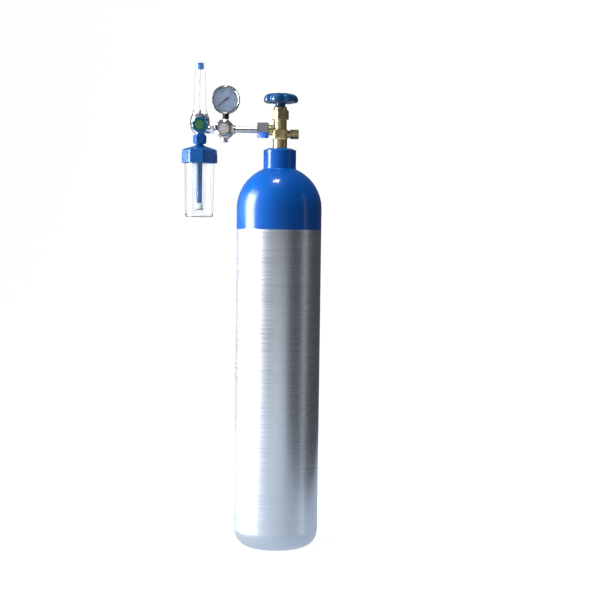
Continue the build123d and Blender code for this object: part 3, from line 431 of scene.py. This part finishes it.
def spin(name, profile, steps=SPIN_STEPS, shape=None):
    """A closed solid turned about Z.  shape(angle, radius, height) moves a point in or out.

    A profile that starts and ends on the axis is closed there; any other is a loop.
    """
    capped = profile[0].x < 1e-9
    rings = profile[1:-1] if capped else profile
    depth = len(rings)
    verts = []
    for step in range(steps):
        angle = 2 * pi * step / steps
        for radius, height in rings:
            if shape is not None:
                radius, height = shape(angle, radius, height)
            verts.append((radius * cos(angle), radius * sin(angle), height))
    faces = []
    for step in range(steps):
        here, there = step * depth, (step + 1) % steps * depth
        for row in range(depth - 1 if capped else depth):
            after = (row + 1) % depth
            faces.append((here + row, here + after, there + after, there + row))
    if capped:
        for row, end in ((0, profile[0]), (depth - 1, profile[-1])):
            verts.append((0, 0, end.y))
            for step in range(steps):
                faces.append((len(verts) - 1, step * depth + row, (step + 1) % steps * depth + row))
    return solid(name, verts, faces)


def solid(name, verts, faces):
    """A mesh with its faces turned outward."""
    mesh = bpy.data.meshes.new(name)
    work = bmesh.new()
    made = [work.verts.new(point) for point in verts]
    for face in faces:
        work.faces.new([made[index] for index in face])
    bmesh.ops.recalc_face_normals(work, faces=work.faces)
    work.to_mesh(mesh)
    work.free()
    return mesh


def upright(x=0.0, z=0.0):
    return Matrix.Translation((x, 0, z))


def forward(x, z):
    """Turns local Z to the front."""
    return Matrix.Translation((x, 0, z)) @ Matrix.Rotation(radians(90), 4, "X")


def backward(x, z):
    """Turns local Z to the back."""
    return Matrix.Translation((x, 0, z)) @ Matrix.Rotation(radians(-90), 4, "X")


def polar(reach, direction):
    """Across and up from a centre, for a direction in degrees from the right."""
    return reach * cos(radians(direction)), reach * sin(radians(direction))


def middle(node):
    low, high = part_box(node)
    return (low + high) / 2


def piece(name, mesh, finish, body, where, replaced=()):
    """A mesh moved to its place, painted, and riding on a body, instead of the CAD nodes replaced."""
    mesh.transform(where)
    mesh.shade_smooth()
    mesh.set_sharp_from_angle(angle=radians(SHARP_ANGLE))
    made = bpy.data.objects.new(name, mesh)
    bpy.context.scene.collection.objects.link(made)
    paint(made, finish)
    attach(made, body)
    if replaced:
        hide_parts(*replaced)
    return made


class Marks:
    """Printed bars and figures, built flat: across, up, and out of the surface."""

    THICK = 0.06 * MM

    def __init__(self, name):
        self.name = name
        self.verts = []
        self.faces = []

    def bar(self, across, up, width, height, turn=0.0, cuts=1):
        """A bar centred at (across, up); turn tips it, in degrees."""
        base = len(self.verts)
        for column in range(cuts + 1):
            for row in (-0.5, 0.5):
                along, aside = (column / cuts - 0.5) * width, row * height
                x = across + along * cos(radians(turn)) - aside * sin(radians(turn))
                y = up + along * sin(radians(turn)) + aside * cos(radians(turn))
                self.verts += [(x, y, 0), (x, y, self.THICK)]
        for column in range(cuts):
            a, b = base + 4 * column, base + 4 * column + 4
            self.faces += [(a, a + 2, b + 2, b), (a + 1, b + 1, b + 3, a + 3)]
            self.faces += [(a, b, b + 1, a + 1), (a + 2, a + 3, b + 3, b + 2)]
        end = base + 4 * cuts
        self.faces += [(base, base + 1, base + 3, base + 2), (end, end + 2, end + 3, end + 1)]

    def figure(self, text, across, up, size):
        """A number, centred at (across, up)."""
        curve = bpy.data.curves.new(self.name, "FONT")
        curve.body = text
        curve.size = size
        curve.align_x = curve.align_y = "CENTER"
        curve.extrude = self.THICK / 2
        curve.resolution_u = 4
        made = bpy.data.objects.new(self.name, curve)
        mesh = bpy.data.meshes.new_from_object(made)
        base = len(self.verts)
        for vert in mesh.vertices:
            self.verts.append((across + vert.co.x, up + vert.co.y, self.THICK / 2 + vert.co.z))
        self.faces += [tuple(base + index for index in face.vertices) for face in mesh.polygons]
        for data, store in ((made, bpy.data.objects), (mesh, bpy.data.meshes), (curve, bpy.data.curves)):
            store.remove(data)

    def flat(self):
        return solid(self.name, self.verts, self.faces)

    def wrapped(self, axis_x, radius, start=0.0):
        """The marks laid round the upright axis at axis_x, facing the front; radius(height) is the wall."""
        laid = []
        for across, up, out in self.verts:
            wall = radius(up)
            angle = across / wall + radians(start)
            laid.append((axis_x + (wall + out) * sin(angle), -(wall + out) * cos(angle), up))
        return solid(self.name, laid, self.faces)


# ================================================================ pieces
def lobe_wave(angle, lobes, sharpness=0.07):
    """1 on a lobe's centre line and 0 in the valley, with broad lobes."""
    wave = 0.5 + 0.5 * cos(lobes * (angle - radians(LOBE_TURN)))
    low, high = sqrt(sharpness), sqrt(1 + sharpness)
    return (sqrt(wave + sharpness) - low) / (high - low)


def handwheel():
    """Cast grip with seven pillow lobes, a hollow underside and a recess for its nut."""
    low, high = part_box("handwheel")
    hub, top = low.z / MM, high.z / MM
    rim = top - WHEEL_DEPTH
    profile = rounded(
        (WHEEL_BORE_R, hub),
        (9.4, hub, 0.8),
        (9.5, rim + 1.0, 1.5),
        (12.4, rim + 0.5, 0.8),
        (13.4, rim + 6.4, 1.2),
        (19.6, rim + 6.4, 1.6),
        (21.4, rim + 0.3, 1.0),
        (28.0, rim, 3.0),
        (WHEEL_R - 0.6, rim + 2.6, 3.0),
        (WHEEL_R, rim + 6.6, 3.2),
        (31.4, rim + 12.2, 3.6),
        (26.0, rim + 16.2, 4.0),
        (18.0, rim + 18.0, 5.0),
        (11.6, rim + 17.6, 1.4),
        (9.7, rim + 16.4, 0.8),
        (8.7, top - WHEEL_RECESS, 0.6),
        (WHEEL_BORE_R, top - WHEEL_RECESS),
    )
    start, full, valley = WHEEL_ROUND_R * MM, WHEEL_R * MM, WHEEL_VALLEY_R * MM
    belt = (rim + 7.5) * MM          # height of the rim's widest part

    def lobed(angle, r, z):
        if r <= start:
            return r, z
        wave = lobe_wave(angle, WHEEL_LOBES)
        share = (r - start) / (full - start)
        reach = full + (valley - full) * (1 - wave)
        thinner = 1 - 0.1 * (1 - wave) * share
        return start + share * (reach - start), belt + (z - belt) * thinner

    mesh = spin("handwheel_grip", profile, WHEEL_LOBES * LOBE_STEPS, lobed)
    piece("handwheel_grip", mesh, BLUE_GLOSS, "handwheel", upright(), ["handwheel"])


def flow_knob():
    """Scalloped knob with a printed disc and two rings in its face."""
    centre = middle("flow_knob")
    low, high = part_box("flow_knob")
    back, front = -high.y / MM, -low.y / MM
    face = front - DISC_RECESS
    profile = rounded(
        (0, back + 10.6),
        (3.1, back + 10.6),
        (3.1, back + 3.2),
        (7.9, back + 3.2),
        (7.9, back, 0.4),
        (11.0, back, 0.6),
        (12.3, back + 1.4, 0.8),
        (KNOB_R - 0.7, back + 1.8, 1.0),
        (KNOB_R, back + 4.0, 1.6),
        (KNOB_R, front - 3.0, 1.8),
        (KNOB_R - 1.0, front - 0.5, 1.2),
        (DISC_R + 1.1, front, 0.6),
        (DISC_R + 0.4, front - 0.6, 0.4),
        (DISC_R + 0.1, face),
        (0, face),
    )
    start, full, valley = KNOB_ROUND_R * MM, KNOB_R * MM, KNOB_VALLEY_R * MM

    def lobed(angle, r, z):
        if r <= start:
            return r, z
        wave = lobe_wave(angle, KNOB_LOBES, 0.12)
        reach = full + (valley - full) * (1 - wave)
        return start + (r - start) / (full - start) * (reach - start), z

    where = forward(centre.x, centre.z)
    mesh = spin("flow_knob_grip", profile, KNOB_LOBES * SCALLOP_STEPS, lobed)
    piece("flow_knob_grip", mesh, BLUE_PLASTIC, "flow_knob", where, ["flow_knob"])
    discs = (
        ("knob_disc", GREEN_PLASTIC, "green_plastic", DISC_R, face, face + 1.2, ["knob_badge"]),
        ("knob_inner_ring", OLIVE_PRINT, "green_plastic", 7.7, face + 1.2, face + 1.4, ()),
        ("knob_centre", TEAL_PRINT, "green_plastic", 4.2, face + 1.4, face + 1.55, ()),
    )
    for name, finish, slot, radius, bottom, top, replaced in discs:
        outline = rounded((0, bottom), (radius, bottom), (radius, top, 0.15), (0, top))
        piece(name, spin(name, outline), finish, "flow_knob", where, replaced)


def octagon(angle, apothem, corner):
    """Distance to the side of a rounded octagon with a flat at angle 0."""
    aside = abs((angle + pi / 8) % (pi / 4) - pi / 8)
    if aside < atan2((apothem - corner) * tan(pi / 8), apothem):
        return apothem / cos(aside)
    centre = (apothem - corner) / cos(pi / 8)
    offset = pi / 8 - aside
    return centre * cos(offset) + sqrt(corner**2 - (centre * sin(offset)) ** 2)


def humidifier_lid():
    """Eight-sided screw cap, its stem into the union nut, and its hose tail."""
    low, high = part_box("humidifier_cap")
    centre = middle("dip_tube").x
    base, stem_top = low.z / MM, high.z / MM
    step, rim, peak, ceiling = base + 17.5, base + 25.0, base + 32.0, base + 20.5
    profile = rounded(
        (0, ceiling - 2),
        (5.62, ceiling - 2),
        (5.62, ceiling - 11, 0.4),
        (7.4, ceiling - 11, 0.5),
        (7.4, ceiling, 0.8),
        (CAP_BORE_R, ceiling, 0.8),
        (CAP_BORE_R, base, 0.4),
        (CAP_HALF, base, 0.9),
        (CAP_HALF, step, 0.7),
        (31.2, step + 0.5, 0.3),
        (31.1, rim - 1.4, 2.2),
        (28.6, rim + 0.8, 1.4),
        (10.2, peak - 0.2, 3.0),
        (6.4, peak + 2.5, 1.0),
        (6.4, stem_top - 3.7),
        (7.7, stem_top - 3.7),
        (7.7, stem_top),
        (0, stem_top),
    )
    start = CAP_BORE_R + 0.1

    def eight_sided(angle, r, z):
        if r / MM > start:
            share = 1.0
        elif z / MM > rim - 2.5:
            share = max(0.0, (r / MM - CAP_ROUND_R) / (start - CAP_ROUND_R))
        else:
            share = 0.0
        side = octagon(angle - radians(CAP_TURN), CAP_HALF, CAP_CORNER) / CAP_HALF
        return r * (1 + (side - 1) * share), z

    mesh = spin("humidifier_lid", profile, 8 * SIDE_STEPS, eight_sided)
    where = upright(centre)
    piece("humidifier_lid", mesh, BLUE_PLASTIC, "cylinder", where, ["humidifier_cap"])

    tail = rounded(
        (0, 27.0),
        (4.8, 27.0),
        (4.8, 37.4, 0.7),
        (3.25, 38.4, 0.3),
        (3.25, 56.0, 0.9),
        (2.4, 57.0, 0.3),
        (1.9, 57.0, 0.2),
        (1.9, 44.0),
        (0, 44.0),
    )
    where = backward(centre, (ceiling + 3) * MM)
    piece("hose_tail", spin("hose_tail", tail, 64), BLUE_PLASTIC, "cylinder", where)


def bottle():
    """Clear bottle with a rounded foot, and level marks on its wall."""
    low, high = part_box("humidifier_bottle")
    centre = middle("humidifier_bottle").x
    foot, mouth = low.z / MM, high.z / MM
    shoulder = mouth - 19.2
    profile = rounded(
        (0, foot + 0.9),
        (19.0, foot + 0.7, 2.0),
        (21.4, foot, 0.9),
        (BOTTLE_FOOT_R, foot, 3.4),
        (BOTTLE_TOP_R, shoulder - 0.5, 2.0),
        (BOTTLE_MOUTH_R, shoulder + 2.6, 1.0),
        (BOTTLE_MOUTH_R, mouth, 0.4),
        (26.4, mouth, 0.4),
        (26.4, shoulder + 4.0, 2.0),
        (25.4, shoulder - 1.5, 2.0),
        (23.8, foot + 3.2, 3.2),
        (0, foot + 3.0),
    )
    mesh = spin("bottle", profile)
    piece("bottle", mesh, CLEAR_BOTTLE, "bottle", upright(centre), ["humidifier_bottle"])

    marks = Marks("bottle_scale")
    for row in range(BOTTLE_MARKS):
        height = (foot + 26.0 + row * 4.6) * MM
        width = 7.0 if row % 2 == 0 else 4.2
        marks.bar(0, height, width * MM, 0.45 * MM, cuts=6)

    def wall(z):
        share = (z / MM - foot) / (shoulder - foot)
        return (BOTTLE_FOOT_R + (BOTTLE_TOP_R - BOTTLE_FOOT_R) * share + INK_GAP) * MM

    for side, angle in (("left", -23), ("right", 22)):
        marks.name = f"bottle_scale_{side}"
        mesh = marks.wrapped(centre, wall, angle)
        piece(marks.name, mesh, SCALE_PRINT, "bottle", upright())


def gauge():
    """Rolled bezel, and a printed dial with figures."""
    centre = middle("gauge_bezel")
    where = forward(centre.x, centre.z)
    low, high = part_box("gauge_bezel")
    radius = (high.x - low.x) / 2 / MM
    back, front = -high.y / MM, -low.y / MM
    bezel = rounded(
        (radius - 0.9, back, 0.2),
        (radius, back, 0.4),
        (radius, front - 1.9, 0.9),
        (radius - 0.9, front - 0.1, 0.9),
        (radius - 2.2, front, 0.6),
        (radius - 3.1, front - 0.9, 0.5),
        (radius - 3.2, front - 1.55, 0.1),
        (radius - 0.9, front - 1.55),
    )
    mesh = spin("bezel_ring", bezel)
    # The bezel ring is painted with darkened chrome, as painted shade.
    piece("bezel_ring", mesh, PAINTED_SHADE_CHROME_DARK, "cylinder", where, ["gauge_bezel"])

    low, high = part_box("gauge_dial")
    dial_r = (high.x - low.x) / 2 / MM
    dial_back, dial_front = -high.y / MM, -low.y / MM
    plate = rounded((1.3, dial_back), (dial_r, dial_back), (dial_r, dial_front, 0.15), (1.3, dial_front))
    piece("dial_plate", spin("dial_plate", plate), DIAL_PAINT, "cylinder", where, ["gauge_dial"])

    marks = Marks("dial_scale")
    for value in range(GAUGE_MAX + 1):
        direction = GAUGE_ZERO - GAUGE_SWEEP * value / GAUGE_MAX
        has_figure = value % GAUGE_FIGURE_STEP == 0
        length, width = (2.6, 0.42) if has_figure else (1.4, 0.24)
        reach = (dial_r - 2.0 - length / 2) * MM
        marks.bar(*polar(reach, direction), length * MM, width * MM, direction)
        if has_figure:
            marks.figure(str(value), *polar((dial_r - 7.6) * MM, direction), 4.4 * MM)
    reach = (dial_r - 1.9) * MM
    length = radians(GAUGE_SWEEP) * reach / GAUGE_ARC_BARS
    for step in range(GAUGE_ARC_BARS):
        direction = GAUGE_ZERO - GAUGE_SWEEP * (step + 0.5) / GAUGE_ARC_BARS
        marks.bar(*polar(reach, direction), length, 0.22 * MM, direction + 90)
    on_dial = where @ upright(z=dial_front * MM)
    piece("dial_scale", marks.flat(), DARK_PRINT, "cylinder", on_dial)


def flow_scale():
    """Flow marks and figures on the metering tube."""
    low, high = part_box("metering_tube")
    low_z, top_z = low.z + METER_END * MM, high.z
    low_r, top_r = METER_LOW_R * MM, (high.x - low.x) / 2

    def wall(z):
        return low_r + (top_r - low_r) * (z - low_z) / (top_z - low_z) + INK_GAP * MM

    marks = Marks("flow_marks")
    first, pitch = low_z + 8 * MM, 7.2 * MM
    for value in range(1, FLOW_MARKS + 1):
        height = first + (value - 1) * pitch
        marks.bar(-0.6 * MM, height, 2.2 * MM, 0.5 * MM, cuts=4)
        marks.bar(-1.0 * MM, height + pitch / 2, 1.2 * MM, 0.3 * MM, cuts=2)
        marks.figure(str(value), 2.2 * MM, height, 2.9 * MM)
    marks.bar(-1.8 * MM, first + 4.75 * pitch, 0.3 * MM, 9.6 * pitch)
    mesh = marks.wrapped(middle("metering_tube").x, wall)
    piece("flow_marks", mesh, DARK_PRINT, "cylinder", upright())


def regulator_face():
    """Printed rings on the regulator's round badge."""
    centre = middle("regulator_badge")
    where = forward(centre.x, centre.z)
    front = -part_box("regulator_badge")[0].y / MM
    for name, outer, inner in (("badge_outer_ring", 8.6, 7.7), ("badge_inner_ring", 4.4, 3.8)):
        ring = rounded((inner, front), (outer, front), (outer, front + 0.07), (inner, front + 0.07))
        piece(name, spin(name, ring, 96), ROSE_PRINT, "cylinder", where)


# ================================================================ studio
def studio_bowl():
    """A pale round floor that curves up into a wall on every side.  Gloss doesn't mirror it."""
    radius, bend, height, thick = 6.0, 1.5, 5.0, 0.05
    inside = [Vector((0, 0))]
    for step in range(STUDIO_BEND_STEPS + 1):
        angle = radians(90 * step / STUDIO_BEND_STEPS)
        inside.append(Vector((radius - bend + bend * sin(angle), bend - bend * cos(angle))))
    outside = [Vector((radius, height)), Vector((radius + thick, height)), Vector((radius + thick, -thick))]
    mesh = spin("studio_bowl", inside + outside + [Vector((0, -thick))])
    mesh.shade_smooth()
    mesh.set_sharp_from_angle(angle=radians(SHARP_ANGLE))
    floor = bpy.data.objects.new("studio_bowl", mesh)
    bpy.context.scene.collection.objects.link(floor)
    finish = Finish(
        "studio_white",
        Base_Color=(0.9, 0.9, 0.9, 1),
        Roughness=0.9,
        Specular_IOR_Level=0.0,
        Emission_Color=(1, 1, 1, 1),
        Emission_Strength=0.8,
    )
    paint(floor, finish.material)
    floor.visible_diffuse = False
    floor.visible_glossy = False
    floor.visible_shadow = False


def area_light(name, at, target, size, watts, colour=(1, 1, 1)):
    """A rectangular light at one point, facing another."""
    lamp = bpy.data.lights.new(name, "AREA")
    lamp.shape = "RECTANGLE"
    lamp.size, lamp.size_y = size
    lamp.energy = watts
    lamp.color = colour
    made = bpy.data.objects.new(name, lamp)
    bpy.context.scene.collection.objects.link(made)
    made.location = at
    made.rotation_euler = (Vector(target) - Vector(at)).to_track_quat("-Z", "Y").to_euler()
    return made


def lights():
    """Soft light from the left.  Lights that are only there for gloss to mirror don't light matt surfaces."""
    area_light("left_softbox", (-1.5, -0.2, 0.7), (0, 0, 0.5), (0.9, 1.9), 43)
    area_light("top_softbox", (-0.15, -0.3, 2.0), (0, 0, 0.7), (0.26, 0.26), 8)
    area_light("right_strip", (1.4, -0.38, 0.6), (0, 0, 0.5), (0.25, 1.8), 1.0)
    fill = area_light("front_fill", (-1.0, -2.8, 1.4), (0, 0, 0.6), (0.8, 0.8), 3)
    fill.visible_glossy = False
    streak = area_light("left_streak", (-1.44, -0.17, 0.62), (0, 0, 0.5), (0.7, 1.5), 67)
    sheen = area_light(
        "floor_sheen", (-0.75, -0.6, -0.03), (-0.75, -0.6, 1), (3.2, 4.4), 26, (0.86, 1.0, 1.16)
    )
    card = area_light("front_card", (0.35, -3.0, 0.15), (0, 0, 0.4), (2.1, 0.7), 2.2)
    for mirrored in (streak, sheen, card):
        mirrored.visible_diffuse = False
    for hidden in (sheen, card):
        hidden.visible_camera = False


def world():
    """Dim surroundings that are lighter on the left, so that gloss has something to reflect."""
    made = bpy.data.worlds.new("studio")
    made.use_nodes = True
    tree = made.node_tree
    where = tree.nodes.new("ShaderNodeTexCoord")
    split = tree.nodes.new("ShaderNodeSeparateXYZ")
    shift = tree.nodes.new("ShaderNodeMapRange")
    ramp = tree.nodes.new("ShaderNodeValToRGB")
    background = tree.nodes["Background"]
    shift.inputs["From Min"].default_value = -1.0
    background.inputs["Strength"].default_value = 0.42
    left, right = ramp.color_ramp.elements
    left.position, left.color = 0.15, (0.85, 0.87, 0.9, 1)
    right.position, right.color = 0.8, (0.18, 0.185, 0.195, 1)
    tree.links.new(where.outputs["Generated"], split.inputs["Vector"])
    tree.links.new(split.outputs["X"], shift.inputs["Value"])
    tree.links.new(shift.outputs["Result"], ramp.inputs["Fac"])
    tree.links.new(ramp.outputs["Color"], background.inputs["Color"])
    bpy.context.scene.world = made


def camera():
    """A long lens in front, pitched slightly down and rolled slightly."""
    lens = bpy.data.cameras.new("camera")
    lens.lens = CAMERA_LENS
    lens.sensor_width = 36.0
    lens.shift_y = CAMERA_SHIFT_Y
    made = bpy.data.objects.new("camera", lens)
    bpy.context.scene.collection.objects.link(made)
    made.location = (CAMERA_X, -CAMERA_DISTANCE, CAMERA_Z)
    made.rotation_euler = (radians(90 - CAMERA_PITCH), radians(CAMERA_ROLL), 0)
    bpy.context.scene.camera = made
    bpy.context.scene.view_settings.view_transform = "Standard"


# ================================================================ build
paint_cad_nodes()
handwheel()
flow_knob()
humidifier_lid()
bottle()
gauge()
flow_scale()
regulator_face()
studio_bowl()
lights()
world()
camera()
